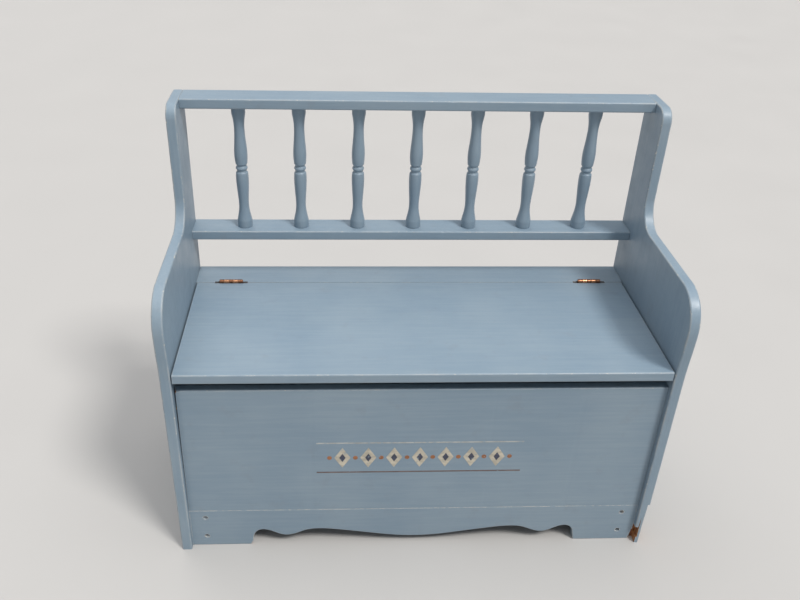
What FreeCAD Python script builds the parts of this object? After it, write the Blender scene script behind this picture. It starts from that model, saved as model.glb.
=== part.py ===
import FreeCAD, Part
import math
import os

# A toy box that doubles as a child's bench: two shaped side boards carry a box with a hinged
# seat lid, and a back rest of seven turned spindles between two rails.
# Millimetres. +X to the right as seen from the front, +Y to the back, +Z up.
# The origin is on the floor, in the middle of the overall width and depth.

# ---- driving dimensions -------------------------------------------------------------------
WIDTH = 914.0               # over the two side boards
HEIGHT = 798.0              # floor to top rail
SIDE_DEPTH = 383.0          # from the straight front edge of a side board to its back edge
BOARD = 19.0                # every board is cut from one thickness

SEAT_HEIGHT = 423.0         # floor to the top of the lid
ARM_HEIGHT = 572.0          # floor to the flat top of a side board's arm
POST_DEPTH = 97.0           # the side board above the arm, front edge to back edge
ARM_BULGE = 6.0             # how far the arm's nose stands out past the straight front edge
NOSE_RADIUS = 64.0          # arm's front corner
COVE_RADIUS = 51.0          # inner corner between arm and post
POST_RADIUS = 26.0          # top front corner of the post
BULGE_DROP = 105.0          # height over which the nose sweeps back to the straight edge

PANEL_SETBACK = 11.5        # front panel and apron lie behind the side boards' front edges
APRON_HEIGHT = 92.5
FINGER_GAP = 22.5           # between the front panel and the lid
BOTTOM_LAP = 6.0            # the bottom panel's edge laps this far below the apron's top

RAIL_DEPTH = 55.0
LOWER_RAIL_TOP = 532.0

STRIP_DEPTH = 67.0          # fixed strip behind the lid
SEAM_GAP = 1.2              # between lid and strip
LID_SIDE_GAP = 2.5          # between lid and each side board

CLEAT = 19.0                # square section of every cleat
BLOCK = 44.0                # corner blocks behind the apron, width and depth
BLOCK_HEIGHT = 74.0         # corner blocks hang from the bottom panel

SIDE_ROUND = 3.0            # rounding of the boards' long edges
RAIL_ROUND = 3.0
LID_ROUND = 3.0
PANEL_ROUND = 2.0
APRON_ROUND = 1.2           # the apron's upper edge, which shows as a fine line under the panel

# ---- scalloped lower edge of the apron, half of it, from the foot to the middle ------------
FOOT_LENGTH = 117.0         # length of a foot on the floor
FOOT_RISE = 27.0            # height at which the foot's inner edge meets the curve
FOOT_LEAN = 5.0             # the foot's inner edge leans this far over its rise
ARCH_HEIGHT = 40.0          # the two small arches
ARCH_IN = (23.0, 122.0)     # distance of the two arches from the foot's toe
DIP_HEIGHT = 24.0           # the bump between them
DIP_IN = 68.0
MIDDLE_HEIGHT = 17.5        # the long shallow drop in the middle

# ---- spindles ------------------------------------------------------------------------------
SPINDLE_COUNT = 7
SPINDLE_INSET = 102.0       # from a side board's inner face to the first spindle's axis
TENON_RADIUS = 6.5
TENON_LENGTH = 11.0
# turned outline: height as a share of the length between the rails, and radius
BASE_COLLAR = [(0.000, 14.2), (0.020, 14.6), (0.061, 14.5)]
LOWER_VASE = [(0.061, 14.5), (0.125, 11.0), (0.175, 9.6), (0.300, 11.3), (0.395, 12.4), (0.462, 11.7)]
LOWER_GROOVE = (0.474, 9.6)
BEAD = [(0.484, 9.9), (0.500, 11.7), (0.518, 9.9)]
UPPER_GROOVE = (0.526, 9.7)
UPPER_VASE = [(0.536, 11.5), (0.605, 13.0), (0.730, 10.8), (0.834, 9.9), (0.900, 11.2), (0.940, 13.1)]
TOP_COLLAR = [(0.940, 13.1), (1.000, 13.1)]

# ---- hinges --------------------------------------------------------------------------------
HINGE_LENGTH = 46.0
HINGE_INSET = 71.0          # from a side board's inner face to the hinge's middle
BARREL_RADIUS = 4.0
PIN_RADIUS = 2.0
PIN_CLEARANCE = 0.05
PIN_HEAD = 0.8              # the pin's domed ends stand out of the barrel
KNUCKLES = 5
KNUCKLE_GAP = 0.3
AXIS_RISE = 2.5             # hinge axis above the lid's top
LEAF = 1.4                  # leaf thickness
LEAF_PLAY = 0.3             # each leaf stands this far from the seam's middle
LEAF_DROP = 17.0            # leaf's lower edge below the lid's top
SLOT_END = 10.0             # the groove that clears the barrel runs on this far past it
SLOT_PLAY = 0.6             # between barrel and groove
LEAF_SCREW_SPREAD = 28.0
LEAF_SCREW_DROP = 10.5      # below the lid's top

# ---- fasteners -----------------------------------------------------------------------------
FIT = 0.05                  # between a fastener and its hole, all round
SHANK_RADIUS = 2.1
HEAD_RADIUS = 4.2
SCREW_LENGTH = 32.0
APRON_HEAD_RADIUS = 4.6     # the apron's screws have larger heads, sunk deep in their holes
APRON_HEAD_SINK = 3.0
SMALL_SHANK = 1.4
SMALL_HEAD = 2.8
SMALL_LENGTH = 13.0
DOWEL_RADIUS = 4.0
DOWEL_DEPTH = 11.0          # into the side board
DOWEL_LENGTH = 32.0
DOWEL_SHARES = (0.15, 0.5, 0.85)    # where dowels sit along a panel's height
HOLE_SPARE = 1.0            # blind holes are deeper than their dowel or tenon by this
FLUSH_SINK = 0.5            # how far the hidden screws' heads lie below the face
SCREW_STOP = 6.0            # the hidden screws stop this far short of the board's far face
APRON_SCREW_IN = 30.0       # from the inner face of the side board
APRON_SCREW_HEIGHTS = (25.0, 74.0)

# ---- places that follow from the dimensions ------------------------------------------------
INNER = WIDTH / 2 - BOARD                       # half the width between the side boards
Y_NOSE = -(SIDE_DEPTH + ARM_BULGE) / 2          # foremost point of the arms
Y_FRONT = Y_NOSE + ARM_BULGE                    # straight front edge of the side boards
Y_BACK = Y_FRONT + SIDE_DEPTH
Y_PANEL = Y_FRONT + PANEL_SETBACK               # front face of front panel and apron
Y_INSIDE = Y_PANEL + BOARD                      # back face of front panel and apron
Y_BACK_PANEL = Y_BACK - BOARD
Y_SEAM = Y_BACK - STRIP_DEPTH - SEAM_GAP / 2    # middle of the seam, and the hinge axis
Z_LID = SEAT_HEIGHT - BOARD                     # underside of lid and strip
Z_PANEL_TOP = Z_LID - FINGER_GAP
Z_BOTTOM = APRON_HEIGHT - BOTTOM_LAP            # underside of the bottom panel
Z_BOTTOM_TOP = Z_BOTTOM + BOARD
Z_AXIS = SEAT_HEIGHT + AXIS_RISE
Z_TOP_RAIL = HEIGHT - BOARD
Z_LOWER_RAIL = LOWER_RAIL_TOP - BOARD
Y_RAIL = Y_BACK - RAIL_DEPTH
Y_SPINDLE = Y_BACK - RAIL_DEPTH / 2
Z_CLEAT = Z_LID - CLEAT                         # underside of the seat cleats
X_HINGE = INNER - HINGE_INSET

V = FreeCAD.Vector
X_DIR, Y_DIR, Z_DIR = V(1, 0, 0), V(0, 1, 0), V(0, 0, 1)
pieces = {}


# ---- helpers -------------------------------------------------------------------------------
def block(low, high):
    """A box between two corners."""
    size = [b - a for a, b in zip(low, high)]
    return Part.makeBox(size[0], size[1], size[2], V(*low))


def rounded(shape, radius, wanted):
    """Round the edges for which wanted(edge's bounding box) is true."""
    edges = [edge for edge in shape.Edges if wanted(edge.BoundBox)]
    return shape.makeFillet(radius, edges) if edges else shape


def along_x(box):
    return box.YLength < 0.01 and box.ZLength < 0.01


def mirrored(shape):
    """The same piece on the other side of the bench's middle plane."""
    return shape.mirror(V(0, 0, 0), X_DIR)


def rod(start, direction, radius, length):
    return Part.makeCylinder(radius, length, start, direction)


def screw(head_at, direction, shank, head, length, grow=0.0):
    """A countersunk wood screw, its flat head at head_at. grow makes the hole for it."""
    cone_height = head - shank
    core = rod(head_at, direction, shank + grow, length + 2 * grow)
    cone = Part.makeCone(head + grow, shank + grow, cone_height, head_at, direction)
    return core.fuse(cone)


def screw_hole(head_at, direction, shank, head, length, sink):
    """The hole for that screw, with the counterbore above a head that lies below the face."""
    hole = screw(head_at, direction, shank, head, length, FIT)
    mouth = rod(head_at - direction * (sink + 1.0), direction, head + FIT, sink + 1.0)
    return hole.fuse(mouth) if sink > 0 else hole


def drive(group, targets, places, shank, head, length, sink=0.0):
    """Add one screw at each (face point, direction) and drill the named pieces for it."""
    made = []
    for face, direction in places:
        head_at = face + direction * sink
        made.append(screw(head_at, direction, shank, head, length))
        hole = screw_hole(head_at, direction, shank, head, length, sink)
        for name in targets:
            if pieces[name].BoundBox.intersect(hole.BoundBox):
                pieces[name] = pieces[name].cut(hole)
    pieces[group] = Part.makeCompound(made)


def dowel(group, targets, centres):
    """Dowels along X across each joint face at a (y, z) centre, on both side boards."""
    made = []
    for y, z in centres:
        for side in (-1, 1):
            face = V(side * INNER, y, z)
            outward = V(side, 0, 0)
            start = face - outward * (DOWEL_LENGTH - DOWEL_DEPTH)
            made.append(rod(start, outward, DOWEL_RADIUS, DOWEL_LENGTH))
            hole = rod(start - outward * HOLE_SPARE, outward, DOWEL_RADIUS + FIT,
                       DOWEL_LENGTH + 2 * HOLE_SPARE)
            for name in targets:
                if pieces[name].BoundBox.intersect(hole.BoundBox):
                    pieces[name] = pieces[name].cut(hole)
    pieces[group] = Part.makeCompound(made)


# ---- side boards ---------------------------------------------------------------------------
def side_outline():
    """Outline of a side board in the YZ plane, from the floor at the back, clockwise."""
    y_post = Y_BACK - POST_DEPTH
    z_nose = ARM_HEIGHT - NOSE_RADIUS
    half = math.sqrt(0.5)

    def at(y, z):
        return V(0, y, z)

    def corner(start, centre, radius, turn_y, turn_z, end):
        middle = at(centre[0] + turn_y * radius * half, centre[1] + turn_z * radius * half)
        return Part.Arc(start, middle, end).toShape()

    floor_back, top_back = at(Y_BACK, 0), at(Y_BACK, HEIGHT)
    post_top, post_front = at(y_post + POST_RADIUS, HEIGHT), at(y_post, HEIGHT - POST_RADIUS)
    cove_top, cove_end = at(y_post, ARM_HEIGHT + COVE_RADIUS), at(y_post - COVE_RADIUS, ARM_HEIGHT)
    nose_top, nose_front = at(Y_NOSE + NOSE_RADIUS, ARM_HEIGHT), at(Y_NOSE, z_nose)
    sweep_end, floor_front = at(Y_FRONT, z_nose - BULGE_DROP), at(Y_FRONT, 0)

    sweep = Part.BezierCurve()
    sweep.setPoles([nose_front, at(Y_NOSE, z_nose - BULGE_DROP * 0.4),
                    at(Y_FRONT, z_nose - BULGE_DROP * 0.6), sweep_end])
    return Part.Wire([
        Part.makeLine(floor_back, top_back),
        Part.makeLine(top_back, post_top),
        corner(post_top, (y_post + POST_RADIUS, HEIGHT - POST_RADIUS), POST_RADIUS, -1, 1, post_front),
        Part.makeLine(post_front, cove_top),
        corner(cove_top, (y_post - COVE_RADIUS, ARM_HEIGHT + COVE_RADIUS), COVE_RADIUS, 1, -1, cove_end),
        Part.makeLine(cove_end, nose_top),
        corner(nose_top, (Y_NOSE + NOSE_RADIUS, z_nose), NOSE_RADIUS, -1, 1, nose_front),
        sweep.toShape(),
        Part.makeLine(sweep_end, floor_front),
        Part.makeLine(floor_front, floor_back),
    ])


def side_board():
    """The board at +X, its front, arm, post and top edges rounded over on both faces."""
    board = Part.Face(side_outline()).extrude(X_DIR * BOARD)
    board.translate(V(INNER, 0, 0))

    def shaped_edge(box):
        return box.XLength < 0.01 and box.ZMax > 1.0 and box.YMin < Y_BACK - 1.0

    return rounded(board, SIDE_ROUND, shaped_edge)


# ---- box -----------------------------------------------------------------------------------
def front_panel():
    panel = block((-INNER, Y_PANEL, APRON_HEIGHT), (INNER, Y_INSIDE, Z_PANEL_TOP))
    return rounded(panel, PANEL_ROUND, lambda box: along_x(box) and box.ZMin > Z_PANEL_TOP - 1)


def scallop_points():
    """Half of the scallop from the foot to the middle, as extremes joined by half waves."""
    toe = INNER - FOOT_LENGTH
    extremes = [(toe - ARCH_IN[0], ARCH_HEIGHT), (toe - DIP_IN, DIP_HEIGHT),
                (toe - ARCH_IN[1], ARCH_HEIGHT), (0.0, MIDDLE_HEIGHT)]
    points = [(toe - FOOT_LEAN, FOOT_RISE)]
    for (x0, z0), (x1, z1) in zip(extremes, extremes[1:]):
        for share in (0.0, 0.25, 0.5, 0.75):
            wave = (1 - math.cos(math.pi * share)) / 2
            points.append((x0 + (x1 - x0) * share, z0 + (z1 - z0) * wave))
    return points


def front_apron():
    """Toe board between the sides: two feet and a scalloped edge between them."""
    half = scallop_points()
    curve_points = [V(x, Y_PANEL, z) for x, z in half]
    curve_points.append(V(0, Y_PANEL, MIDDLE_HEIGHT))
    curve_points += [V(-x, Y_PANEL, z) for x, z in reversed(half)]
    curve = Part.BSplineCurve()
    curve.interpolate(curve_points)
    toe = INNER - FOOT_LENGTH

    def at(x, z):
        return V(x, Y_PANEL, z)

    corners = [curve_points[-1], at(-toe, 0), at(-INNER, 0), at(-INNER, APRON_HEIGHT),
               at(INNER, APRON_HEIGHT), at(INNER, 0), at(toe, 0), curve_points[0]]
    lines = [Part.makeLine(a, b) for a, b in zip(corners, corners[1:])]
    board = Part.Face(Part.Wire([curve.toShape()] + lines)).extrude(Y_DIR * BOARD)

    def upper_front(box):
        return along_x(box) and box.ZMin > APRON_HEIGHT - 1.0 and box.YMax < Y_PANEL + 1.0

    return rounded(board, APRON_ROUND, upper_front)


def back_panel():
    return block((-INNER, Y_BACK_PANEL, Z_BOTTOM), (INNER, Y_BACK, Z_LID))


def bottom_panel():
    return block((-INNER, Y_INSIDE, Z_BOTTOM), (INNER, Y_BACK_PANEL, Z_BOTTOM_TOP))


def corner_block():
    """Behind the apron at +X, under the bottom panel, where the apron's screws bite."""
    return block((INNER - BLOCK, Y_INSIDE, Z_BOTTOM - BLOCK_HEIGHT), (INNER, Y_INSIDE + BLOCK, Z_BOTTOM))


def bottom_cleat():
    """Under the bottom panel along the side board at +X."""
    return block((INNER - CLEAT, Y_INSIDE + BLOCK, Z_BOTTOM - CLEAT), (INNER, Y_BACK_PANEL, Z_BOTTOM))


def front_cleat():
    """Under the bottom panel behind the apron, between the corner blocks."""
    reach = INNER - BLOCK
    return block((-reach, Y_INSIDE, Z_BOTTOM - CLEAT), (reach, Y_INSIDE + CLEAT, Z_BOTTOM))


def seat_cleat():
    """Along the side board at +X, from the front panel to the back panel, under lid and strip."""
    return block((INNER - CLEAT, Y_INSIDE, Z_CLEAT), (INNER, Y_BACK_PANEL, Z_LID))


# ---- seat ----------------------------------------------------------------------------------
def barrel_slots():
    """Round-bottomed grooves that clear the two hinge barrels."""
    slots = []
    length = HINGE_LENGTH + 2 * SLOT_END
    for side in (-1, 1):
        start = V(side * X_HINGE - length / 2, Y_SEAM, Z_AXIS)
        slots.append(rod(start, X_DIR, BARREL_RADIUS + SLOT_PLAY, length))
    return Part.makeCompound(slots)


def leaf_recesses(side_of_seam):
    """Shallow mortises for the two leaves on one side of the seam, +1 strip or -1 lid."""
    near, far = sorted((0.0, side_of_seam * (LEAF_PLAY + LEAF)))
    cuts = []
    for side in (-1, 1):
        middle = side * X_HINGE
        half = HINGE_LENGTH / 2 + FIT
        cuts.append(block((middle - half, Y_SEAM + near, SEAT_HEIGHT - LEAF_DROP - FIT),
                          (middle + half, Y_SEAM + far, SEAT_HEIGHT + 1.0)))
    return Part.makeCompound(cuts)


def rear_strip():
    strip = block((-INNER, Y_SEAM + SEAM_GAP / 2, Z_LID), (INNER, Y_BACK, SEAT_HEIGHT))
    return strip.cut(barrel_slots()).cut(leaf_recesses(1))


def seat_lid():
    reach = INNER - LID_SIDE_GAP
    lid = block((-reach, Y_FRONT, Z_LID), (reach, Y_SEAM - SEAM_GAP / 2, SEAT_HEIGHT))

    def front_edge(box):
        return along_x(box) and box.YMax < Y_FRONT + 1.0

    return rounded(lid, LID_ROUND, front_edge).cut(barrel_slots()).cut(leaf_recesses(-1))


# ---- hinges --------------------------------------------------------------------------------
def knuckle_spans(middle):
    """Start and length of each knuckle along X, with a running gap between neighbours."""
    pitch = HINGE_LENGTH / KNUCKLES
    first = middle - HINGE_LENGTH / 2
    return [(first + i * pitch + KNUCKLE_GAP / 2, pitch - KNUCKLE_GAP) for i in range(KNUCKLES)]


def hinge_leaf(middle, side_of_seam):
    """Leaf in the seam. The fixed leaf (+1) has the odd knuckles, the moving one the even."""
    near, far = sorted((side_of_seam * LEAF_PLAY, side_of_seam * (LEAF_PLAY + LEAF)))
    half = HINGE_LENGTH / 2
    low = SEAT_HEIGHT - LEAF_DROP
    high = Z_AXIS - BARREL_RADIUS - 2 * KNUCKLE_GAP
    leaf = block((middle - half, Y_SEAM + near, low), (middle + half, Y_SEAM + far, high))
    own = knuckle_spans(middle)[0 if side_of_seam > 0 else 1::2]
    for start, length in own:
        neck = block((start, Y_SEAM + near, high - 1.0), (start + length, Y_SEAM + far, Z_AXIS))
        ring = rod(V(start, Y_SEAM, Z_AXIS), X_DIR, BARREL_RADIUS, length)
        leaf = leaf.fuse([neck, ring])
    bore = rod(V(middle - half - 1, Y_SEAM, Z_AXIS), X_DIR, PIN_RADIUS + PIN_CLEARANCE, HINGE_LENGTH + 2)
    return leaf.cut(bore).removeSplitter()


def hinge_pin(middle):
    """Pin with a low domed head at each end, which stands just clear of the barrel."""
    half = HINGE_LENGTH / 2
    pin = rod(V(middle - half - PIN_HEAD, Y_SEAM, Z_AXIS), X_DIR, PIN_RADIUS, HINGE_LENGTH + 2 * PIN_HEAD)
    for side in (-1, 1):
        start = V(middle + side * half, Y_SEAM, Z_AXIS)
        pin = pin.fuse(Part.makeCone(PIN_RADIUS + 1.0, PIN_RADIUS - 0.5, PIN_HEAD, start, V(side, 0, 0)))
    return pin.removeSplitter()


# ---- back rest -----------------------------------------------------------------------------
def spindle_places():
    first = INNER - SPINDLE_INSET
    pitch = 2 * first / (SPINDLE_COUNT - 1)
    return [-first + pitch * i for i in range(SPINDLE_COUNT)]


def rail(z_low):
    """A rail between the side boards, its two front edges rounded."""
    board = block((-INNER, Y_RAIL, z_low), (INNER, Y_BACK, z_low + BOARD))
    return rounded(board, RAIL_ROUND, lambda box: along_x(box) and box.YMax < Y_RAIL + 1.0)


def drilled_rail(z_low, face_z, direction):
    """A rail with a blind hole for each spindle's tenon, drilled from face_z along direction."""
    board = rail(z_low)
    depth = TENON_LENGTH + HOLE_SPARE
    holes = [rod(V(x, Y_SPINDLE, face_z), direction, TENON_RADIUS + FIT, depth) for x in spindle_places()]
    return board.cut(Part.makeCompound(holes))


def spindle():
    """One turned spindle about the Z axis, standing on z = 0, with its two tenons."""
    length = Z_TOP_RAIL - LOWER_RAIL_TOP

    def at(point):
        return V(point[1], 0, point[0] * length)

    def curve(points):
        spline = Part.BSplineCurve()
        spline.interpolate([at(point) for point in points])
        return spline.toShape()

    def line(start, end):
        return Part.makeLine(start, end)

    bead = Part.Arc(at(BEAD[0]), at(BEAD[1]), at(BEAD[2])).toShape()
    outline = [
        line(V(0, 0, -TENON_LENGTH), V(TENON_RADIUS, 0, -TENON_LENGTH)),
        line(V(TENON_RADIUS, 0, -TENON_LENGTH), V(TENON_RADIUS, 0, 0)),
        line(V(TENON_RADIUS, 0, 0), at(BASE_COLLAR[0])),
        line(at(BASE_COLLAR[0]), at(BASE_COLLAR[1])),
        line(at(BASE_COLLAR[1]), at(BASE_COLLAR[2])),
        curve(LOWER_VASE),
        line(at(LOWER_VASE[-1]), at(LOWER_GROOVE)),
        line(at(LOWER_GROOVE), at(BEAD[0])),
        bead,
        line(at(BEAD[-1]), at(UPPER_GROOVE)),
        line(at(UPPER_GROOVE), at(UPPER_VASE[0])),
        curve(UPPER_VASE),
        line(at(TOP_COLLAR[0]), at(TOP_COLLAR[1])),
        line(at(TOP_COLLAR[1]), V(TENON_RADIUS, 0, length)),
        line(V(TENON_RADIUS, 0, length), V(TENON_RADIUS, 0, length + TENON_LENGTH)),
        line(V(TENON_RADIUS, 0, length + TENON_LENGTH), V(0, 0, length + TENON_LENGTH)),
        line(V(0, 0, length + TENON_LENGTH), V(0, 0, -TENON_LENGTH)),
    ]
    return Part.Face(Part.Wire(outline)).revolve(V(0, 0, 0), Z_DIR, 360)


# ---- assembly ------------------------------------------------------------------------------
def add_pairs():
    """Pieces that exist once on each side of the bench."""
    for name, maker in (("side_panel", side_board), ("corner_block", corner_block),
                        ("bottom_cleat", bottom_cleat), ("seat_cleat", seat_cleat)):
        right = maker()
        pieces[name + "_right"] = right
        pieces[name + "_left"] = mirrored(right)


def add_boards():
    pieces["front_panel"] = front_panel()
    pieces["front_apron"] = front_apron()
    pieces["back_panel"] = back_panel()
    pieces["bottom_panel"] = bottom_panel()
    pieces["bottom_cleat_front"] = front_cleat()
    pieces["rear_seat_strip"] = rear_strip()
    pieces["seat_lid"] = seat_lid()
    pieces["top_rail"] = drilled_rail(Z_TOP_RAIL, Z_TOP_RAIL, Z_DIR)
    pieces["lower_rail"] = drilled_rail(Z_LOWER_RAIL, LOWER_RAIL_TOP, -Z_DIR)


def add_spindles():
    turned = spindle()
    for number, x in enumerate(spindle_places(), start=1):
        copy = turned.copy()
        copy.translate(V(x, Y_SPINDLE, LOWER_RAIL_TOP))
        pieces["spindle_%d" % number] = copy


def add_hinges():
    """Two butt hinges with their small screws, heads flush in the leaves."""
    fixed, moving = [], []
    for name, side in (("left", -1), ("right", 1)):
        middle = side * X_HINGE
        pieces["hinge_leaf_fixed_" + name] = hinge_leaf(middle, 1)
        pieces["hinge_leaf_moving_" + name] = hinge_leaf(middle, -1)
        pieces["hinge_pin_" + name] = hinge_pin(middle)
        for offset in (-LEAF_SCREW_SPREAD / 2, LEAF_SCREW_SPREAD / 2):
            z = SEAT_HEIGHT - LEAF_SCREW_DROP
            fixed.append((V(middle + offset, Y_SEAM + LEAF_PLAY, z), Y_DIR))
            moving.append((V(middle + offset, Y_SEAM - LEAF_PLAY, z), -Y_DIR))
    drive("hinge_screws_fixed", ["rear_seat_strip", "hinge_leaf_fixed_left", "hinge_leaf_fixed_right"],
          fixed, SMALL_SHANK, SMALL_HEAD, SMALL_LENGTH)
    drive("hinge_screws_moving", ["seat_lid", "hinge_leaf_moving_left", "hinge_leaf_moving_right"],
          moving, SMALL_SHANK, SMALL_HEAD, SMALL_LENGTH)


def add_dowels():
    """Hidden dowels between the side boards and the boards that end on them."""
    rail_inset = RAIL_DEPTH / 4
    rail_places = [(y, z + BOARD / 2) for z in (Z_TOP_RAIL, Z_LOWER_RAIL)
                   for y in (Y_RAIL + rail_inset, Y_BACK - rail_inset)]
    dowel("rail_dowels", ["side_panel_left", "side_panel_right", "top_rail", "lower_rail"], rail_places)

    panel_height = Z_PANEL_TOP - APRON_HEIGHT
    panel_places = [(Y_PANEL + BOARD / 2, APRON_HEIGHT + panel_height * share) for share in DOWEL_SHARES]
    dowel("front_panel_dowels", ["side_panel_left", "side_panel_right", "front_panel"], panel_places)

    back_height = Z_LID - Z_BOTTOM
    back_places = [(Y_BACK - BOARD / 2, Z_BOTTOM + back_height * share) for share in DOWEL_SHARES]
    dowel("back_panel_dowels", ["side_panel_left", "side_panel_right", "back_panel"], back_places)


def add_screws():
    """Screws that the box is put together with. Heads lie just below the face they enter."""
    apron, block_side, seat_side, bottom_side, floor, strip = [], [], [], [], [], []
    inside_length = Y_BACK_PANEL - Y_INSIDE
    for side in (-1, 1):
        outward = V(side, 0, 0)
        for z in APRON_SCREW_HEIGHTS:
            apron.append((V(side * (INNER - APRON_SCREW_IN), Y_PANEL, z), Y_DIR))
        block_z = Z_BOTTOM - BLOCK_HEIGHT / 2
        block_side.append((V(side * (INNER - BLOCK), Y_INSIDE + BLOCK * 0.7, block_z), outward))
        for share in (0.2, 0.5, 0.8):
            y = Y_INSIDE + inside_length * share
            seat_side.append((V(side * (INNER - CLEAT), y, Z_CLEAT + CLEAT / 2), outward))
        for share in (0.3, 0.6, 0.9):
            y = Y_INSIDE + inside_length * share
            bottom_side.append((V(side * (INNER - CLEAT), y, Z_BOTTOM - CLEAT / 2), outward))
        for share in (0.25, 0.75):
            y = Y_INSIDE + inside_length * share
            floor.append((V(side * (INNER - CLEAT / 2), y, Z_BOTTOM_TOP), -Z_DIR))
        strip.append((V(side * (INNER - CLEAT / 2), (Y_SEAM + Y_BACK_PANEL) / 2, Z_CLEAT), Z_DIR))
    for x in (-INNER / 2, 0.0, INNER / 2):
        floor.append((V(x, Y_INSIDE + CLEAT / 2, Z_BOTTOM_TOP), -Z_DIR))

    both = ["corner_block_left", "corner_block_right"]
    sides = ["side_panel_left", "side_panel_right"]
    cleats = ["bottom_cleat_left", "bottom_cleat_right"]
    seats = ["seat_cleat_left", "seat_cleat_right"]
    inward = BOARD + CLEAT - SCREW_STOP
    through_block = BOARD + BLOCK - SCREW_STOP
    drive("apron_screws", ["front_apron"] + both, apron,
          SHANK_RADIUS, APRON_HEAD_RADIUS, SCREW_LENGTH, APRON_HEAD_SINK)
    drive("corner_block_screws", both + sides, block_side,
          SHANK_RADIUS, HEAD_RADIUS, through_block, FLUSH_SINK)
    drive("cleat_screws", cleats + seats + sides, seat_side + bottom_side,
          SHANK_RADIUS, HEAD_RADIUS, inward, FLUSH_SINK)
    drive("bottom_panel_screws", ["bottom_panel", "bottom_cleat_front"] + cleats, floor,
          SHANK_RADIUS, HEAD_RADIUS, inward, FLUSH_SINK)
    drive("strip_screws", ["rear_seat_strip"] + seats, strip,
          SHANK_RADIUS, HEAD_RADIUS, inward, FLUSH_SINK)


def write_parts():
    os.makedirs("parts", exist_ok=True)
    for name, shape in sorted(pieces.items()):
        if not shape.isValid():
            raise ValueError("not a valid shape: " + name)
        shape.exportStep(os.path.join("parts", name + ".step"))
        print("%-26s solids %2d  volume %10.1f" % (name, len(shape.Solids), shape.Volume))
    print("nodes", len(pieces))


add_pairs()
add_boards()
add_spindles()
add_hinges()
add_dowels()
add_screws()
write_parts()
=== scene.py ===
# %% [markdown]
# # A painted toy box that is also a bench
# The real thing is a pine box with a hinged lid for a seat, two shaped side boards and a back
# rest of turned spindles, all brushed with a satin powder-blue paint that has seen some years.
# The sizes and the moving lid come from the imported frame, so they are loaded first and every
# piece made here takes its place from them. Lengths below are written in millimetres.

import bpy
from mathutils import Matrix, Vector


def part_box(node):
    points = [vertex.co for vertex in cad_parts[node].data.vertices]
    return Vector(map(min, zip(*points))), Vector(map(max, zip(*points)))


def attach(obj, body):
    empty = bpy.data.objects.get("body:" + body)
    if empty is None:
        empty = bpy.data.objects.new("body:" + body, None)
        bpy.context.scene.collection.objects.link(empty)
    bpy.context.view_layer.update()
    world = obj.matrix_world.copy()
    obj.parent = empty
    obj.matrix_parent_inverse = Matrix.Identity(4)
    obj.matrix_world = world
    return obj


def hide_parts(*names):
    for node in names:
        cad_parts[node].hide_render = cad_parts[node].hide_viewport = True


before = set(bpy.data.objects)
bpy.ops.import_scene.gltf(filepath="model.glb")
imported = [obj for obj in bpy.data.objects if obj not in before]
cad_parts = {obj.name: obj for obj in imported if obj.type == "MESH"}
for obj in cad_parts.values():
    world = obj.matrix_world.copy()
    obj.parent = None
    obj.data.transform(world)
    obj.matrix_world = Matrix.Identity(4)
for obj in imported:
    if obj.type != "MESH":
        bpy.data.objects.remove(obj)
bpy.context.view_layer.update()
print("pieces in the frame:", len(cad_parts))

# %% Tools and units
import math

import bmesh
import bpy
from mathutils import Matrix, Vector

MM = 0.001
scene = bpy.context.scene
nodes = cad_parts

# %% [markdown]
# ## Where we stand
# A person took a step back and looked down at the bench, a little from the left. A camera is
# placed by three turns: tip it down, swing it round, and lean it by a degree or so. The small
# shift slides the frame sideways without turning the camera, so upright boards stay the same.

# %% Camera
CAMERA_PLACE = (-0.1582, -1.3273, 1.2695)
SWING, TIP, LEAN = math.radians(-3.14), math.radians(90 - 31.396), math.radians(1.536)
lens = bpy.data.cameras.new("camera")
lens.sensor_width = 36
lens.lens = 37.078
lens.shift_x = 0.0337
camera = bpy.data.objects.new("camera", lens)
scene.collection.objects.link(camera)
camera.matrix_world = (Matrix.Translation(CAMERA_PLACE) @ Matrix.Rotation(SWING, 4, "Z")
                       @ Matrix.Rotation(TIP, 4, "X") @ Matrix.Rotation(LEAN, 4, "Z"))
scene.camera = camera
scene.view_settings.view_transform = "Standard"
print("camera at", [round(v, 3) for v in camera.matrix_world.translation])

# %% [markdown]
# ## Light
# Satin paint needs broad, pale light: hard small lamps would draw sharp shadows, which a room
# with a white ceiling does not have. Three wide suns stand in for ceiling and windows. A sun
# lights the floor evenly however far it runs, and its angle sets how soft its shadow is. The
# main one stands high in front and to the right, so the lid's front edge shades the finger gap.

# %% Soft lights
def soft_sun(name, height, swing, strength, softness, colour=(1, 1, 1)):
    """A wide sun: height above the floor and swing to the right of the front, in degrees."""
    lamp = bpy.data.lights.new(name, "SUN")
    lamp.energy = strength
    lamp.angle = math.radians(softness)
    lamp.color = colour
    sun = bpy.data.objects.new(name, lamp)
    scene.collection.objects.link(sun)
    sun.matrix_world = (Matrix.Rotation(math.radians(swing), 4, "Z")
                        @ Matrix.Rotation(math.radians(90 - height), 4, "X"))
    return sun


soft_sun("main_light", 54, 44, 2.15, 14, (1.0, 0.975, 0.94))
soft_sun("ceiling", 86, 20, 1.55, 70, (0.98, 0.985, 1.0))
soft_sun("from_behind", 40, 205, 0.45, 50)
world = bpy.data.worlds.new("room")
world.use_nodes = True
world.node_tree.nodes["Background"].inputs["Color"].default_value = (0.86, 0.87, 0.90, 1)
world.node_tree.nodes["Background"].inputs["Strength"].default_value = 0.33
scene.world = world

# %% [markdown]
# ## Wiring a material
# Every finish below is a small machine of nodes. Two helpers matter most: `place`
# adds a node and fills or joins its inputs, and `new_group` opens a node group, which is a
# machine that several materials can share, each with its own values.

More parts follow.
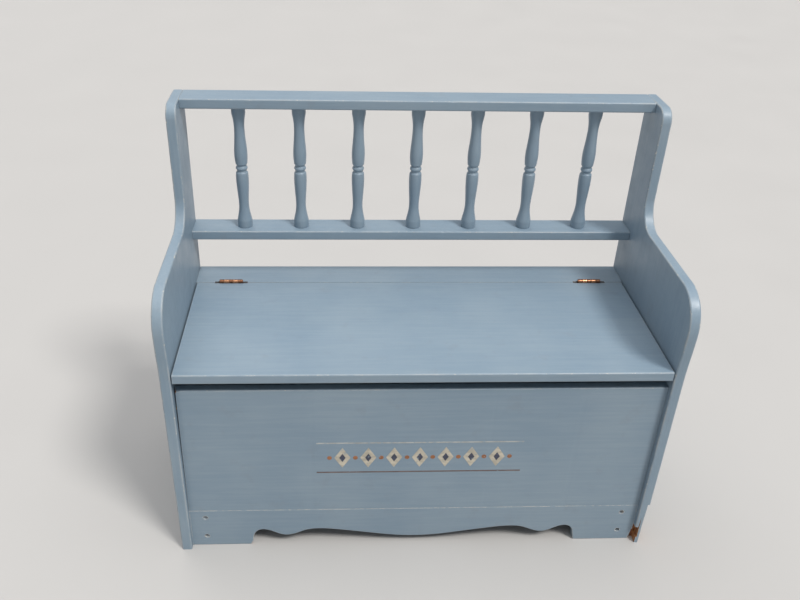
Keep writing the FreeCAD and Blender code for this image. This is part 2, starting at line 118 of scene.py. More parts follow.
# %% Node helpers
def place(tree, kind, inputs=None, **options):
    """Add a shader node, set its options, then join or fill its inputs."""
    node = tree.nodes.new("ShaderNode" + kind)
    for option, value in options.items():
        setattr(node, option, value)
    for socket, value in (inputs or {}).items():
        if isinstance(value, bpy.types.NodeSocket):
            tree.links.new(value, node.inputs[socket])
        else:
            node.inputs[socket].default_value = value
    return node


def sums(tree, operation, a, b=0.0, clamp=False):
    """One sum on two values."""
    return place(tree, "Math", {0: a, 1: b}, operation=operation, use_clamp=clamp).outputs[0]


def blend(tree, share, a, b, how="MIX"):
    """Mix two colours by a share between 0 and 1."""
    node = place(tree, "Mix", {"Factor": share}, data_type="RGBA", blend_type=how)
    for socket, value in ((node.inputs[6], a), (node.inputs[7], b)):
        if isinstance(value, bpy.types.NodeSocket):
            tree.links.new(value, socket)
        else:
            socket.default_value = value
    return node.outputs[2]


def steps(tree, value, low, high, to_low=0.0, to_high=1.0):
    """Stretch the part of value between low and high, with soft ends."""
    node = place(tree, "MapRange", {"Value": value, "From Min": low, "From Max": high,
                                    "To Min": to_low, "To Max": to_high},
                 interpolation_type="SMOOTHSTEP")
    return node.outputs["Result"]


def speckle(tree, vector, scale, detail=2.0, rough=0.5, stretch=None):
    """Noise that may be stretched along a direction."""
    if stretch is not None:
        vector = place(tree, "VectorMath", {0: vector, 1: stretch},
                       operation="MULTIPLY").outputs[0]
    return place(tree, "TexNoise", {"Vector": vector, "Scale": scale, "Detail": detail,
                                    "Roughness": rough}).outputs["Fac"]


def new_group(name, wants, gives):
    """A node group with named inputs and outputs; returns its tree and both ends."""
    tree = bpy.data.node_groups.new(name, "ShaderNodeTree")
    for label, kind, value in wants:
        socket = tree.interface.new_socket(label, in_out="INPUT",
                                           socket_type="NodeSocket" + kind)
        socket.default_value = value
    for label, kind in gives:
        tree.interface.new_socket(label, in_out="OUTPUT", socket_type="NodeSocket" + kind)
    start = tree.nodes.new("NodeGroupInput").outputs
    end = tree.nodes.new("NodeGroupOutput").inputs
    return tree, start, end


def use_group(tree, group, inputs):
    """Put a group into a material."""
    return place(tree, "Group", inputs, node_tree=group).outputs


def new_material(name):
    """A material with its shader, and the place on the piece that patterns read."""
    material = bpy.data.materials.new(name)
    material.use_nodes = True
    tree = material.node_tree
    shader = tree.nodes["Principled BSDF"]
    where = place(tree, "TexCoord").outputs["Object"]
    return material, tree, shader, where


def roughen(tree, shader, height, depth_mm, strength=1.0):
    """Let a height between 0 and 1 raise the surface by up to depth_mm."""
    bump = place(tree, "Bump", {"Height": height, "Distance": depth_mm * MM,
                                "Strength": strength})
    tree.links.new(bump.outputs["Normal"], shader.inputs["Normal"])


# %% [markdown]
# ## Finding the edges
# Paint wears first where hands and toys rub: on edges. A `Bevel` node looks round each point
# and gives the direction the surface faces on average. On a flat face that is one of the three
# main directions, and near an edge it lies between two of them, so its distance from the main
# directions marks the edge. On the curved side boards only the X direction counts, or the whole
# curve would read as an edge.

# %% Group: edge finder
edge_finder, start, end = new_group(
    "edge_finder", [("Reach", "Float", 0.004), ("Curved", "Float", 0.0)], [("Edge", "Float")])
facing = place(edge_finder, "Bevel", {"Radius": start["Reach"]}, samples=6).outputs[0]
parts = place(edge_finder, "SeparateXYZ", {0: facing}).outputs
across, deep, up = [sums(edge_finder, "ABSOLUTE", parts[i]) for i in range(3)]
nearest = sums(edge_finder, "MAXIMUM", sums(edge_finder, "MAXIMUM", across, deep), up)
on_board = steps(edge_finder, nearest, 0.995, 0.80)
square = sums(edge_finder, "MULTIPLY", across, across)
two_way = sums(edge_finder, "MULTIPLY", square, sums(edge_finder, "SUBTRACT", 1.0, square))
on_curve = steps(edge_finder, two_way, 0.004, 0.16)
chosen = place(edge_finder, "Mix", {"Factor": start["Curved"], 2: on_board, 3: on_curve})
edge_finder.links.new(chosen.outputs[0], end["Edge"])
print("group:", edge_finder.name)

# %% [markdown]
# ## Brushed satin paint
# The bench was brushed by hand over pine, so three things overlap: long faint strokes and the
# grain that shows through along each board, slow clouds where the blue has faded or been wiped,
# and damage. Damage is pale on the edges, where the coat is rubbed thin, and shows undercoat in
# small chips. Fine scratches run any way a toy was dragged. One group makes all of it, and each
# board only tells it which way its grain runs.

# %% Group: brushed paint
brushed_paint, start, end = new_group(
    "brushed_paint",
    [("Where", "Vector", (0, 0, 0)), ("Grain", "Vector", (1, 1, 1)), ("Edge", "Float", 0.0),
     ("Fresh", "Color", (0.2, 0.3, 0.4, 1)), ("Faded", "Color", (0.3, 0.4, 0.5, 1)),
     ("Undercoat", "Color", (0.6, 0.55, 0.45, 1)), ("Wear", "Float", 1.0)],
    [("Colour", "Color"), ("Roughness", "Float"), ("Height", "Float")])
spot = start["Where"]
strokes = speckle(brushed_paint, spot, 1.0, 4.0, 0.6, start["Grain"])
grain = speckle(brushed_paint, spot, 2.7, 2.0, 0.5, start["Grain"])
clouds = speckle(brushed_paint, spot, 5.0, 3.0, 0.55)
stipple = speckle(brushed_paint, spot, 900.0, 1.0)
smears = speckle(brushed_paint, spot, 26.0, 4.0, 0.65)
ragged = speckle(brushed_paint, spot, 150.0, 3.0, 0.6)
print("group:", brushed_paint.name)

# %% Paint: fading and smears
fade = sums(brushed_paint, "ADD", steps(brushed_paint, clouds, 0.35, 0.68, 0.0, 0.42),
            steps(brushed_paint, strokes, 0.35, 0.70, 0.0, 0.30), clamp=True)
coat = blend(brushed_paint, fade, start["Fresh"], start["Faded"])
dull = steps(brushed_paint, smears, 0.56, 0.74, 0.0, 0.16)
coat = blend(brushed_paint, dull, coat, (0.20, 0.21, 0.22, 1))

# %% Paint: scratches
bent = place(brushed_paint, "TexNoise", {"Vector": spot, "Scale": 3.0, "Detail": 1.0})
warped = place(brushed_paint, "VectorMath", {0: bent.outputs["Color"], 1: (0.35, 0.35, 0.35)},
               operation="MULTIPLY").outputs[0]
warped = place(brushed_paint, "VectorMath", {0: spot, 1: warped}, operation="ADD").outputs[0]
cracks = place(brushed_paint, "TexVoronoi", {"Vector": warped, "Scale": 9.0},
               feature="DISTANCE_TO_EDGE").outputs["Distance"]
hairline = steps(brushed_paint, cracks, 0.006, 0.0)
dragged = steps(brushed_paint, speckle(brushed_paint, spot, 11.0, 1.0), 0.60, 0.68)
scratch = sums(brushed_paint, "MULTIPLY", hairline, dragged)
coat = blend(brushed_paint, sums(brushed_paint, "MULTIPLY", scratch, 0.35),
             coat, start["Faded"])

# %% Paint: worn edges and chips
rubbed = sums(brushed_paint, "MULTIPLY", start["Edge"],
              steps(brushed_paint, smears, 0.36, 0.62, 0.12, 1.0))
rubbed = sums(brushed_paint, "MULTIPLY", rubbed, start["Wear"], clamp=True)
pale = blend(brushed_paint, 0.55, start["Faded"], start["Undercoat"])
coat = blend(brushed_paint, sums(brushed_paint, "MULTIPLY", rubbed, 0.55), coat, pale)
chip_odds = sums(brushed_paint, "MULTIPLY", start["Edge"], ragged)
chip_odds = sums(brushed_paint, "MULTIPLY", chip_odds, start["Wear"])
chips = steps(brushed_paint, chip_odds, 0.615, 0.635)
coat = blend(brushed_paint, chips, coat, start["Undercoat"])
brushed_paint.links.new(coat, end["Colour"])

# %% Paint: gloss and relief
gloss = steps(brushed_paint, smears, 0.3, 0.7, 0.36, 0.50)
gloss = sums(brushed_paint, "ADD", gloss, sums(brushed_paint, "MULTIPLY", chips, 0.3))
brushed_paint.links.new(gloss, end["Roughness"])
relief = sums(brushed_paint, "MULTIPLY", strokes, 0.55)
relief = sums(brushed_paint, "ADD", relief, sums(brushed_paint, "MULTIPLY", grain, 0.35))
relief = sums(brushed_paint, "ADD", relief, sums(brushed_paint, "MULTIPLY", stipple, 0.10))
relief = sums(brushed_paint, "SUBTRACT", relief, sums(brushed_paint, "MULTIPLY", scratch, 0.25))
relief = sums(brushed_paint, "SUBTRACT", relief, sums(brushed_paint, "MULTIPLY", chips, 0.6))
brushed_paint.links.new(relief, end["Height"])

# %% [markdown]
# ## The painted finishes
# Grain follows each board: along X on the lid, the panels and the rails, upright on the sides
# and the spindles. That is one group with three sets of values. Blues are kept greyish: a
# powder blue that is too clean looks like plastic.

# %% Blue paint materials
FRESH = (0.205, 0.282, 0.354, 1)
FADED = (0.270, 0.342, 0.400, 1)
UNDERCOAT = (0.56, 0.55, 0.50, 1)
ALONG = (9.0, 190.0, 190.0)
UPRIGHT = (190.0, 190.0, 9.0)


def blue_paint(name, grain_way, curved=0.0, wear=1.0, reach_mm=4.0, fresh=FRESH, faded=FADED):
    """Powder-blue paint whose strokes run along the longest stretch in grain_way."""
    material, tree, shader, where = new_material(name)
    edge = use_group(tree, edge_finder, {"Reach": reach_mm * MM, "Curved": curved})["Edge"]
    paint = use_group(tree, brushed_paint, {
        "Where": where, "Grain": grain_way, "Edge": edge, "Fresh": fresh, "Faded": faded,
        "Undercoat": UNDERCOAT, "Wear": wear})
    tree.links.new(paint["Colour"], shader.inputs["Base Color"])
    tree.links.new(paint["Roughness"], shader.inputs["Roughness"])
    roughen(tree, shader, paint["Height"], 0.35)
    return material


paint_along = blue_paint("blue_paint_along", ALONG)
paint_upright = blue_paint("blue_paint_upright", UPRIGHT, curved=1.0)
paint_block = blue_paint("blue_paint_block", UPRIGHT, wear=0.6)
# The apron's edges rub paler than the other boards: partly wear, partly a painted highlight for
# the light line along its rounded upper edge.
paint_apron_wear_and_highlight = blue_paint("blue_paint_apron", ALONG, wear=1.35)
# The hinge grooves get a near-black paint: painted shade for the shadow down in each groove.
painted_shade_groove = blue_paint("grimy_groove", ALONG, wear=0.0,
                          fresh=(0.035, 0.030, 0.030, 1), faded=(0.075, 0.068, 0.065, 1))
paint_turned = blue_paint("blue_paint_turned", (120.0, 120.0, 10.0), wear=0.0)
print("blue paints:", [m.name for m in bpy.data.materials if m.name.startswith("blue_paint")])

# %% [markdown]
# ## Bare wood and metals
# Where a corner has broken off, the pine under the paint shows: orange-brown, with long fibres.
# The dowels are the same wood. The hinges were plated with copper, which has darkened in the
# hollows; the screws are plain zinc-coated steel.

# %% Bare wood
def bare_wood(name, pale, dark, fibres):
    """Bare wood with long fibres and slow rings."""
    material, tree, shader, where = new_material(name)
    lines = speckle(tree, where, 1.0, 5.0, 0.65, fibres)
    rings = speckle(tree, where, 0.35, 2.0, 0.5, fibres)
    mixed = sums(tree, "ADD", sums(tree, "MULTIPLY", lines, 0.6),
                 sums(tree, "MULTIPLY", rings, 0.4))
    colour = blend(tree, steps(tree, mixed, 0.38, 0.62), dark, pale)
    tree.links.new(colour, shader.inputs["Base Color"])
    tree.links.new(steps(tree, lines, 0.3, 0.7, 0.62, 0.85), shader.inputs["Roughness"])
    roughen(tree, shader, lines, 0.8)
    return material


broken_wood = bare_wood("broken_wood", (0.52, 0.25, 0.10, 1), (0.19, 0.065, 0.03, 1),
                        (420, 420, 22))
dowel_wood = bare_wood("dowel_wood", (0.60, 0.42, 0.24, 1), (0.40, 0.25, 0.12, 1),
                       (30, 500, 500))
print("woods made")

# %% Plated metals
def plated(name, bright, tarnish, rough, spread):
    """Metal with a thin plating that has darkened in patches."""
    material, tree, shader, where = new_material(name)
    patches = speckle(tree, where, 240.0, 3.0, 0.6)
    edge = use_group(tree, edge_finder, {"Reach": 0.8 * MM, "Curved": 0.0})["Edge"]
    old = steps(tree, patches, 0.5 - spread, 0.5 + spread)
    old = sums(tree, "SUBTRACT", old, sums(tree, "MULTIPLY", edge, 0.35), clamp=True)
    tree.links.new(blend(tree, old, bright, tarnish), shader.inputs["Base Color"])
    tree.links.new(steps(tree, patches, 0.3, 0.7, rough, rough + 0.22),
                   shader.inputs["Roughness"])
    roughen(tree, shader, patches, 0.12)
    shader.inputs["Metallic"].default_value = 1.0
    return material


copper_plate = plated("copper_plate", (0.78, 0.40, 0.22, 1), (0.30, 0.13, 0.07, 1), 0.24, 0.22)
copper_dark = plated("copper_dark", (0.42, 0.19, 0.10, 1), (0.10, 0.045, 0.03, 1), 0.34, 0.20)
zinc_steel = plated("zinc_steel", (0.52, 0.53, 0.55, 1), (0.22, 0.22, 0.22, 1), 0.30, 0.20)
print("metals made")

# %% [markdown]
# ## From bmesh to piece
# A finished shape becomes an object at the origin, with its place in its mesh. It rides on a
# body of the frame, so it moves with the lid or stays with the box. Faces are shaded smooth
# except across real edges, and a weighted normal keeps large flat faces flat next to their
# rounded edges.

# %% Piece helpers
def as_piece(shape, name, body, materials, crisp=38, stands_for=()):
    """Close a bmesh and make it a piece of the bench."""
    mesh = bpy.data.meshes.new(name)
    for face in shape.faces:
        face.smooth = True
    shape.to_mesh(mesh)
    shape.free()
    if "custom_normal" in mesh.attributes:
        mesh.attributes.remove(mesh.attributes["custom_normal"])
    mesh.set_sharp_from_angle(angle=math.radians(crisp))
    piece = bpy.data.objects.new(name, mesh)
    scene.collection.objects.link(piece)
    for material in materials:
        mesh.materials.append(material)
    even = piece.modifiers.new("even_shading", "WEIGHTED_NORMAL")
    even.keep_sharp = True
    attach(piece, body)
    if stands_for:
        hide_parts(*stands_for)
    return piece


def sharp_edges(shape, angle=50):
    """Edges where two faces meet at a clear angle."""
    limit = math.radians(angle)
    return [edge for edge in shape.edges if edge.calc_face_angle(0.0) > limit]


def round_over(shape, edges, radius_mm, segments=4):
    """Ease edges to a radius, as sanding and thick paint do."""
    bmesh.ops.bevel(shape, geom=list(edges), offset=radius_mm * MM, offset_type="OFFSET",
                    affect="EDGES", segments=segments, profile=0.5, material=-1)


def block(low, high):
    """A cube stretched between two corners."""
    shape = bmesh.new()
    bmesh.ops.create_cube(shape, size=1)
    bmesh.ops.scale(shape, vec=high - low, verts=shape.verts)
    bmesh.ops.translate(shape, vec=(low + high) / 2, verts=shape.verts)
    return shape


def thicken(shape, way):
    """Pull flat outlines out along a direction, and turn their faces outwards."""
    grown = bmesh.ops.extrude_face_region(shape, geom=shape.faces[:])["geom"]
    far = [item for item in grown if isinstance(item, bmesh.types.BMVert)]
    bmesh.ops.translate(shape, vec=way, verts=far)
    bmesh.ops.recalc_face_normals(shape, faces=shape.faces)


def sawn_board(node):
    """A board cut to a frame node's box."""
    return block(*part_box(node))


def traced(node):
    """A copy of a frame node's mesh, with its loose triangles joined and flat ones merged."""
    shape = bmesh.new()
    shape.from_mesh(nodes[node].data)
    bmesh.ops.remove_doubles(shape, verts=shape.verts, dist=0.002 * MM)
    bmesh.ops.dissolve_limit(shape, angle_limit=math.radians(0.3), verts=shape.verts,
                             edges=shape.edges)
    return shape


def dent(shape, centre, reach_mm, push_mm):
    """Slice the board across X near a dent, then press what is nearest inwards."""
    centre, push = Vector(centre), Vector(push_mm) * MM
    reach = reach_mm * MM
    for share in (-0.9, -0.45, 0.0, 0.45, 0.9):
        cut = centre + Vector((share * reach, 0, 0))
        bmesh.ops.bisect_plane(shape, geom=shape.verts[:] + shape.edges[:] + shape.faces[:],
                               dist=1e-6, plane_co=cut, plane_no=(1, 0, 0))
    for vert in shape.verts:
        away = (vert.co - centre).length / reach
        if away < 1:
            vert.co += push * (1 - away ** 2) ** 2


# %% [markdown]
# ## Side boards
# Each side is one wide board with a post, an arm and a straight front edge. It could be drawn
# as hundreds of points, but a maker marks only its corners and swings a compass round each. So
# the outline here is eight corners, each rounded by a vertex bevel to its own radius, then
# thickened and eased along every edge but the ones on the floor.

# %% Side outline
side_low, side_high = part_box("side_panel_right")
BACK, TOP = side_high.y, side_high.z
NOSE = side_low.y
FRONT = NOSE + 6 * MM
POST = BACK - 97 * MM
ARM = 572 * MM
NOSE_ROUND = 64 * MM
SWEEP = 26 * MM
side_corners = [
    ((BACK, 0), 0), ((BACK, TOP), 0), ((POST, TOP), 26 * MM), ((POST, ARM), 51 * MM),
    ((NOSE, ARM), NOSE_ROUND), ((NOSE, ARM - NOSE_ROUND - SWEEP), 25.5 * MM),
    ((FRONT, ARM - NOSE_ROUND - 105 * MM + SWEEP), 25.5 * MM), ((FRONT, 0), 0)]


def side_board(node):
    """One shaped side board, from its marked corners."""
    low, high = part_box(node)
    shape = bmesh.new()
    marks = [shape.verts.new((low.x, y, z)) for (y, z), _ in side_corners]
    shape.faces.new(marks)
    for mark, (_, radius) in zip(marks, side_corners):
        if radius:
            bmesh.ops.bevel(shape, geom=[mark], offset=radius, offset_type="OFFSET",
                            affect="VERTICES", segments=14, profile=0.5, material=-1)
    thicken(shape, (high.x - low.x, 0, 0))
    eased = [edge for edge in sharp_edges(shape, 70)
             if max(v.co.z for v in edge.verts) > 1 * MM
             and abs(edge.verts[0].co.x - edge.verts[1].co.x) < 1e-6]
    round_over(shape, eased, 3.0)
    return shape


# %% [markdown]
# ## The broken foot
# The right side board has been kicked: its outer front corner is split away for a hand's width,
# a crack runs up the middle of its edge, and bare wood shows. A boolean takes the missing part
# away. Its cutters are boxes whose faces are subdivided with a fractal setting, so what they
# leave is splintered and not smooth, and their faces carry the bare wood into the cut.

# %% Splinter tools
def splintered(low, high, lean_mm=(0, 0), cuts=7, rough=0.25, seed=1, point=1.0):
    """A rough block between two corners in mm; lean moves its top, point narrows it there."""
    low, high = Vector(low) * MM, Vector(high) * MM
    shape = block(low, high)
    middle = (low + high) / 2
    for vert in shape.verts:
        if vert.co.z > middle.z:
            vert.co.x = middle.x + (vert.co.x - middle.x) * point + lean_mm[0] * MM
            vert.co.y = middle.y + (vert.co.y - middle.y) * point + lean_mm[1] * MM
    bmesh.ops.subdivide_edges(shape, edges=shape.edges[:], cuts=cuts, use_grid_fill=True,
                              fractal=rough, along_normal=0.6, seed=seed)
    for face in shape.faces:
        face.material_index = 1
    return shape


def carve(piece, cutters):
    """Take rough blocks away from a piece; the cut faces keep the cutters' second material."""
    for cutter in cutters:
        mesh = bpy.data.meshes.new("cutter")
        cutter.to_mesh(mesh)
        cutter.free()
        for material in piece.data.materials:
            mesh.materials.append(material)
        tool = bpy.data.objects.new("cutter", mesh)
        scene.collection.objects.link(tool)
        cut = piece.modifiers.new("carve", "BOOLEAN")
        cut.operation, cut.solver, cut.object = "DIFFERENCE", "EXACT", tool
        bpy.context.view_layer.update()
        ready = piece.evaluated_get(bpy.context.evaluated_depsgraph_get())
        carved = bpy.data.meshes.new_from_object(ready)
        piece.modifiers.remove(cut)
        piece.data = carved
        bpy.data.objects.remove(tool)
    print(piece.name, "carved:", len(piece.data.polygons), "faces")


# %% Side boards
side_left = as_piece(side_board("side_panel_left"), "side_left", "box",
                     [paint_upright, broken_wood], stands_for=["side_panel_left"])
side_right = as_piece(side_board("side_panel_right"), "side_right", "box",
                      [paint_upright, broken_wood], stands_for=["side_panel_right"])
carve(side_right, [
    splintered((450.5, -205, -12), (470, -140, 104), lean_mm=(1.0, -30), rough=0.05, seed=4),
    splintered((430, -202, -10), (443.2, -170, 43), lean_mm=(0.5, -3), rough=0.07, seed=9),
    splintered((442.6, -202, 16), (446.4, -168, 68), lean_mm=(1.2, -3), rough=0.03, seed=2,
               point=0.15),
    splintered((449.0, -205, -12), (457, -172, 24), lean_mm=(2.0, 0), rough=0.06, seed=6,
               point=0.4),
])
print("sides:", len(side_left.data.vertices), "and", len(side_right.data.vertices), "corners")

# %% [markdown]
# ## Rails, panels and lid
# These are plain sawn boards, and what makes a plain board look real is its edges. Front edges
# were rounded over with a cutter, the others only eased with sandpaper, and years of toys have
# left small dents. The boards that hold hinge grooves or a scalloped edge are traced from the
# frame, so that those shapes stay exact.

# %% Rails and back panel
NEAR = 0.01 * MM


def front_edges(shape, low):
    """The long edges on a board's front face."""
    return [edge for edge in shape.edges
            if all(v.co.y < low.y + NEAR for v in edge.verts)
            and abs(edge.verts[0].co.z - edge.verts[1].co.z) < NEAR]


for node in ("top_rail", "lower_rail"):
    rail = sawn_board(node)
    low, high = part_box(node)
    round_over(rail, front_edges(rail, low), 3.0)
    round_over(rail, sharp_edges(rail, 70), 0.7, 2)
    for x, reach, depth in ((-0.31, 7, 0.5), (0.06, 9, 0.6), (0.35, 6, 0.5)):
        dent(rail, (x, low.y, high.z), reach, (0, depth, -depth))
    as_piece(rail, node + "_board", "box", [paint_along],
             stands_for=[node])

back = sawn_board("back_panel")
round_over(back, sharp_edges(back), 0.8, 2)
as_piece(back, "back_board", "box", [paint_along],
         stands_for=["back_panel"])
print("rails and back done")

# %% Front panel
panel = sawn_board("front_panel")
panel_low, panel_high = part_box("front_panel")
top_edges = [edge for edge in panel.edges
             if all(v.co.z > panel_high.z - NEAR for v in edge.verts)
             and abs(edge.verts[0].co.y - edge.verts[1].co.y) < NEAR]
round_over(panel, top_edges, 2.0)
round_over(panel, sharp_edges(panel, 70), 0.7, 2)
for x, reach, depth in ((-0.20, 8, 0.5), (0.13, 6, 0.4), (0.29, 9, 0.6)):
    dent(panel, (x, panel_low.y, panel_high.z), reach, (0, depth, -depth))
dent(panel, (panel_low.x, panel_low.y, panel_high.z), 13, (2.5, 2.0, -4.0))
panel_piece = as_piece(panel, "front_board", "box",
                       [paint_along, broken_wood], stands_for=["front_panel"])
carve(panel_piece, [splintered((-441, -180, 375.5), (-434.5, -171, 388),
                               lean_mm=(3, 0), seed=5)])
print("front panel:", tuple(round(v / MM) for v in panel_high - panel_low), "mm")

# %% Lid and strip
HINGE_X, HINGE_HALF, GROOVE_HALF = 0.367, 0.036, 0.034


def away_from_hinges(edge, seam):
    """True for an edge outside the hinge grooves."""
    return not any(abs(abs(v.co.x) - HINGE_X) < HINGE_HALF and abs(v.co.y - seam) < 8 * MM
                   for v in edge.verts)


SEAM = 126.9 * MM
AXIS = Vector((0, SEAM, 425.5 * MM))
for node, body in (("seat_lid", "lid"), ("rear_seat_strip", "box")):
    board = traced(node)
    low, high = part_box(node)
    loose = [edge for edge in sharp_edges(board, 70)
             if away_from_hinges(edge, SEAM) and edge.calc_length() > 5 * MM]
    round_over(board, loose, 0.8, 3)
    # Faces down in the hinge grooves take the second, near-black finish: painted shade for the
    # groove's shadow.
    for face in board.faces:
        middle = face.calc_center_median()
        if abs(abs(middle.x) - HINGE_X) < GROOVE_HALF and (middle - AXIS).yz.length < 5.5 * MM:
            face.material_index = 1
    if body == "lid":
        for x, reach, depth in ((-0.24, 8, 0.6), (0.02, 7, 0.5),
                                (0.21, 10, 0.7), (0.38, 7, 0.6)):
            dent(board, (x, low.y, high.z), reach, (0, depth, -depth))
    as_piece(board, node + "_board", body, [paint_along, painted_shade_groove],
             stands_for=[node])
print("lid and strip done")

# %% Apron
SCREW_X = 408
SCREW_HEIGHTS = (25, 74)
apron = traced("front_apron")
apron_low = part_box("front_apron")[0]
lower = [edge for edge in sharp_edges(apron, 60)
         if all(v.co.y < apron_low.y + NEAR and v.co.z < 45 * MM for v in edge.verts)
         and not any(math.hypot(abs(v.co.x) - SCREW_X * MM, v.co.z - SCREW_HEIGHTS[0] * MM)
                     < 7 * MM for v in edge.verts)]
round_over(apron, lower, 1.2, 3)
# Its finish rubs paler at the edges than the other boards: wear, and a painted highlight along
# the upper edge.
apron_piece = as_piece(apron, "apron_board", "box",
                       [paint_apron_wear_and_highlight, broken_wood], stands_for=["front_apron"])
carve(apron_piece, [
    splintered((430, -185, -8), (446, -166, 27), lean_mm=(6, -4), seed=11),
    splintered((-326, -185, -6), (-316, -170, 9), lean_mm=(4, 0), seed=7, point=0.5),
])

# %% [markdown]
# ## Turned spindles
# A spindle is cut on a lathe, so it is drawn as half an outline and spun. The outline needs
# only the places where the turner's tool changes direction. Subdivision fills the long curves
# in between, and the crisp shoulders of the grooves and of the bead are held by a small bevel.

# %% Spindle outline
SPINDLE = [(-11, 0), (-11, 6.5), (0, 6.5), (0, 14.3), (5, 14.7), (14.5, 14.5), (19, 13.6),
           (31, 11.0), (43, 9.5), (58, 9.9), (74, 11.2), (98, 12.5), (108, 12.2), (114, 11.7),
           (117, 9.4), (119.5, 9.4), (121.2, 10.9), (123.5, 11.8), (126, 10.9), (128, 9.4),
           (130, 9.4), (132.4, 11.5), (149, 13.1), (165, 12.2), (180, 10.7), (206, 9.3),
           (222, 11.2), (230, 12.9), (233, 13.2), (247, 13.2), (247, 6.5), (258, 6.5), (258, 0)]
CRISP_RADII = {(0, 14.3), (14.5, 14.5), (114, 11.7), (117, 9.4), (119.5, 9.4), (128, 9.4),
               (130, 9.4), (132.4, 11.5), (233, 13.2), (247, 13.2), (-11, 6.5), (0, 6.5),
               (247, 6.5), (258, 6.5)}


def turned_spindle(place_at, turn):
    """Spin the outline, hold its shoulders, and stand it in its place."""
    shape = bmesh.new()
    dots = [shape.verts.new((radius * MM, 0, height * MM)) for height, radius in SPINDLE]
    lines = [shape.edges.new(pair) for pair in zip(dots, dots[1:])]
    bmesh.ops.spin(shape, geom=dots + lines, cent=(0, 0, 0), axis=(0, 0, 1), angle=math.tau,
                   steps=24, use_merge=True)
    bmesh.ops.remove_doubles(shape, verts=shape.verts, dist=0.01 * MM)
    bmesh.ops.recalc_face_normals(shape, faces=shape.faces)
    shoulders = []
    for edge in shape.edges:
        a, b = (v.co for v in edge.verts)
        spot = (round(a.z / MM, 1), round(math.hypot(a.x, a.y) / MM, 1))
        level = abs(a.z - b.z) < 1e-6 and abs(a.xy.length - b.xy.length) < 1e-6
        if level and spot in CRISP_RADII:
            shoulders.append(edge)
    round_over(shape, shoulders, 0.45, 2)
    bmesh.ops.rotate(shape, verts=shape.verts, matrix=Matrix.Rotation(turn, 3, "Z"))
    bmesh.ops.translate(shape, verts=shape.verts, vec=place_at)
    return shape


# %% Seven spindles
for number in range(1, 8):
    node = "spindle_%d" % number
    low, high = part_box(node)
    foot = Vector(((low.x + high.x) / 2, (low.y + high.y) / 2, low.z + 11 * MM))
    spindle = as_piece(turned_spindle(foot, number * 1.7), node + "_turned", "box",
                       [paint_turned], crisp=60, stands_for=[node])
    smooth = spindle.modifiers.new("smooth", "SUBSURF")
    smooth.levels = smooth.render_levels = 2
    spindle.modifiers.remove(spindle.modifiers["even_shading"])
print("spindles:", 7, "each", len(spindle.data.polygons), "faces before smoothing")

# %% [markdown]
# ## Hinges
# The lid turns on two butt hinges let into the seam. Only their barrels stand above the seat:
# five knuckles round a pin, three on the fixed leaf and two on the moving one. They are traced
# from the frame, because they turn round each other, and the ends of the knuckles are eased so
# that each one catches the light on its own.

# %% Hinge leaves and pins
for side in ("left", "right"):
    for node, body, metal in (("hinge_leaf_fixed_", "box", copper_dark),
                              ("hinge_leaf_moving_", "lid", copper_plate),
                              ("hinge_pin_", "box", copper_dark)):
        part = traced(node + side)
        rims = [edge for edge in sharp_edges(part, 60)
                if abs(edge.verts[0].co.x - edge.verts[1].co.x) < 1e-5
                and all(3.9 * MM < (v.co - AXIS).yz.length < 4.1 * MM for v in edge.verts)]
        if rims:
            round_over(part, rims, 0.4, 2)
        as_piece(part, node + side + "_metal", body, [metal],
                 stands_for=[node + side])
print("hinges done")

# %% [markdown]
# ## Painted border
# The front carries a small hand-painted decoration. Here it is a plain geometric border: two
# lines with diamonds and dots between them, laid out evenly about the middle of the panel.
# Paint on paint has a thickness, so each colour is a set of flat shapes a quarter of a
# millimetre thick on the panel, and its finish lets the blue show through where it has rubbed.

# %% Border paints
def picture_paint(name, colour, cover):
    """A thin coat of colour that is worn through in small patches."""
    material, tree, shader, where = new_material(name)
    patches = speckle(tree, where, 130.0, 4.0, 0.7)
    worn = steps(tree, patches, cover, cover + 0.10)
    uneven = speckle(tree, where, 45.0, 3.0, 0.6, (1.0, 1.0, 2.2))
    deep = tuple(v * 0.72 for v in colour[:3]) + (1,)
    coat = blend(tree, steps(tree, uneven, 0.35, 0.65), colour, deep)
    tree.links.new(blend(tree, worn, coat, FADED), shader.inputs["Base Color"])
    tree.links.new(steps(tree, patches, 0.3, 0.7, 0.42, 0.60), shader.inputs["Roughness"])
    roughen(tree, shader, patches, 0.15)
    return material


cream = picture_paint("picture_cream", (0.58, 0.53, 0.43, 1), 0.57)
pale = picture_paint("picture_pale", (0.44, 0.46, 0.45, 1), 0.52)
slate = picture_paint("picture_slate", (0.062, 0.070, 0.110, 1), 0.60)
orange = picture_paint("picture_orange", (0.36, 0.150, 0.065, 1), 0.58)
brown = picture_paint("picture_brown", (0.17, 0.13, 0.12, 1), 0.60)

# %% Border shapes
PICTURE_Y = panel_low.y
SUNK = 0.05


def flat_shapes(outlines, lift_mm):
    """Flat shapes from corner lists in mm, lifted off the panel by the paint's thickness."""
    shape = bmesh.new()
    for corners in outlines:
        dots = [shape.verts.new((x * MM, PICTURE_Y + SUNK * MM, z * MM)) for x, z in corners]
        shape.faces.new(dots)
    thicken(shape, (0, -(lift_mm + SUNK) * MM, 0))
    return shape


def diamond(x, half_width, half_height):
    """A diamond about the border's middle line."""
    return [(x - half_width, BORDER_Z), (x, BORDER_Z + half_height),
            (x + half_width, BORDER_Z), (x, BORDER_Z - half_height)]


def dot(x, radius, corners=12):
    """A round dab of the brush on the border's middle line."""
    turns = [2 * math.pi * i / corners for i in range(corners)]
    return [(x + radius * math.cos(t), BORDER_Z + radius * math.sin(t)) for t in turns]


def line(z, thick):
    """A straight painted line as long as the border."""
    return [(-BORDER_HALF, z), (-BORDER_HALF, z + thick),
            (BORDER_HALF, z + thick), (BORDER_HALF, z)]


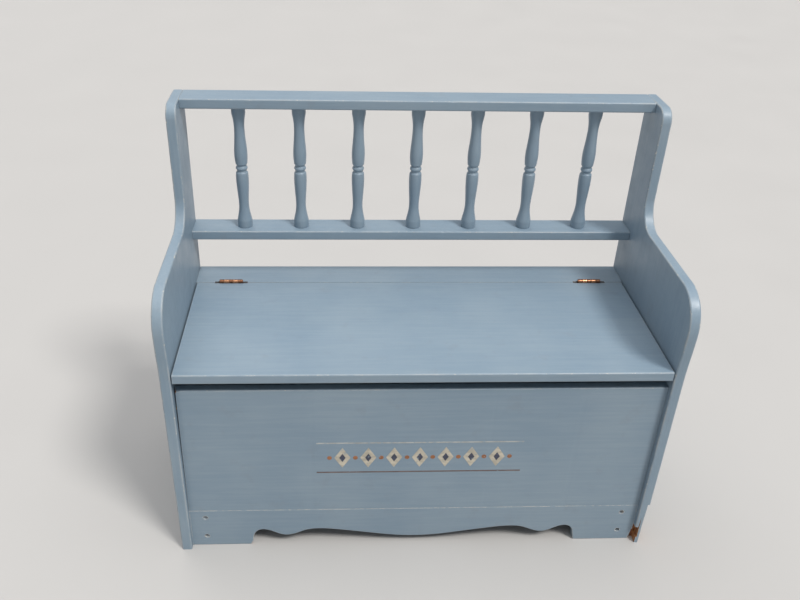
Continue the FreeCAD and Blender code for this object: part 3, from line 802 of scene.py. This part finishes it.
# %% Border pieces
BORDER_Z = 224
BORDER_HALF = 192
BORDER_STEP = 48
diamond_places = [BORDER_STEP * i for i in range(-3, 4)]
dot_places = [BORDER_STEP * (i + 0.5) for i in range(-4, 4)]
picture = {
    "picture_diamonds": (cream, 0.26, [diamond(x, 15, 24) for x in diamond_places]),
    "picture_centres": (slate, 0.34, [diamond(x, 6, 10) for x in diamond_places]),
    "picture_dots": (orange, 0.30, [dot(x, 4.5) for x in dot_places]),
    "picture_top_line": (pale, 0.20, [line(BORDER_Z + 34, 3)]),
    "picture_foot_line": (brown, 0.22, [line(BORDER_Z - 37, 3)]),
}
for name, (paint, lift, outlines) in picture.items():
    picture_piece = as_piece(flat_shapes(outlines, lift), name, "box",
                             [paint])
    picture_piece.modifiers.remove(picture_piece.modifiers["even_shading"])
print("picture:", len(picture), "paints")

# %% [markdown]
# ## Screws in the apron
# Four countersunk screws hold the apron, sunk deep in their holes, and each head has a cross
# cut for the driver. They are traced from the frame, then a cross is carved from two thin
# blocks.

# %% Apron screws
screws = as_piece(traced("apron_screws"), "apron_screws_crossed", "box",
                  [zinc_steel, zinc_steel], stands_for=["apron_screws"])
slots_cut = []
for x in (-SCREW_X, SCREW_X):
    for z in SCREW_HEIGHTS:
        for wide, tall in ((2.6, 0.5), (0.5, 2.6)):
            slots_cut.append(splintered((x - wide, -175, z - tall),
                                        (x + wide, -172.4, z + tall), cuts=1, rough=0.0))
carve(screws, slots_cut)

# %% [markdown]
# ## What stays as the frame has it
# Cleats, corner blocks, the bottom panel, dowels and hidden screws are already the right shape.
# They keep their frame meshes and only get the finish they have on the real bench.

# %% Finishes for the rest
rest_finish = {"bottom_panel": paint_along, "bottom_cleat_front": paint_along}
for node in nodes:
    if nodes[node].hide_render:
        continue
    if "dowels" in node:
        finish = dowel_wood
    elif "screws" in node:
        finish = copper_dark if "hinge" in node else zinc_steel
    else:
        finish = rest_finish.get(node, paint_block)
    for slot in nodes[node].material_slots:
        slot.material = finish
print("frame meshes kept:", sum(not o.hide_render for o in nodes.values()))

# %% [markdown]
# ## Floor
# The bench stands on a plain pale floor that fades into the room.

# %% Floor
floor_shape = bmesh.new()
bmesh.ops.create_grid(floor_shape, x_segments=2, y_segments=2, size=40)
floor_mesh = bpy.data.meshes.new("floor")
floor_shape.to_mesh(floor_mesh)
floor_shape.free()
floor = bpy.data.objects.new("floor", floor_mesh)
scene.collection.objects.link(floor)
floor_paint, tree, shader, where = new_material("floor_paint")
mottle = speckle(tree, where, 3.0, 3.0)
tree.links.new(blend(tree, mottle, (0.47, 0.460, 0.446, 1), (0.50, 0.490, 0.476, 1)),
               shader.inputs["Base Color"])
tree.links.new(steps(tree, mottle, 0.3, 0.7, 0.75, 0.9), shader.inputs["Roughness"])
floor_mesh.materials.append(floor_paint)
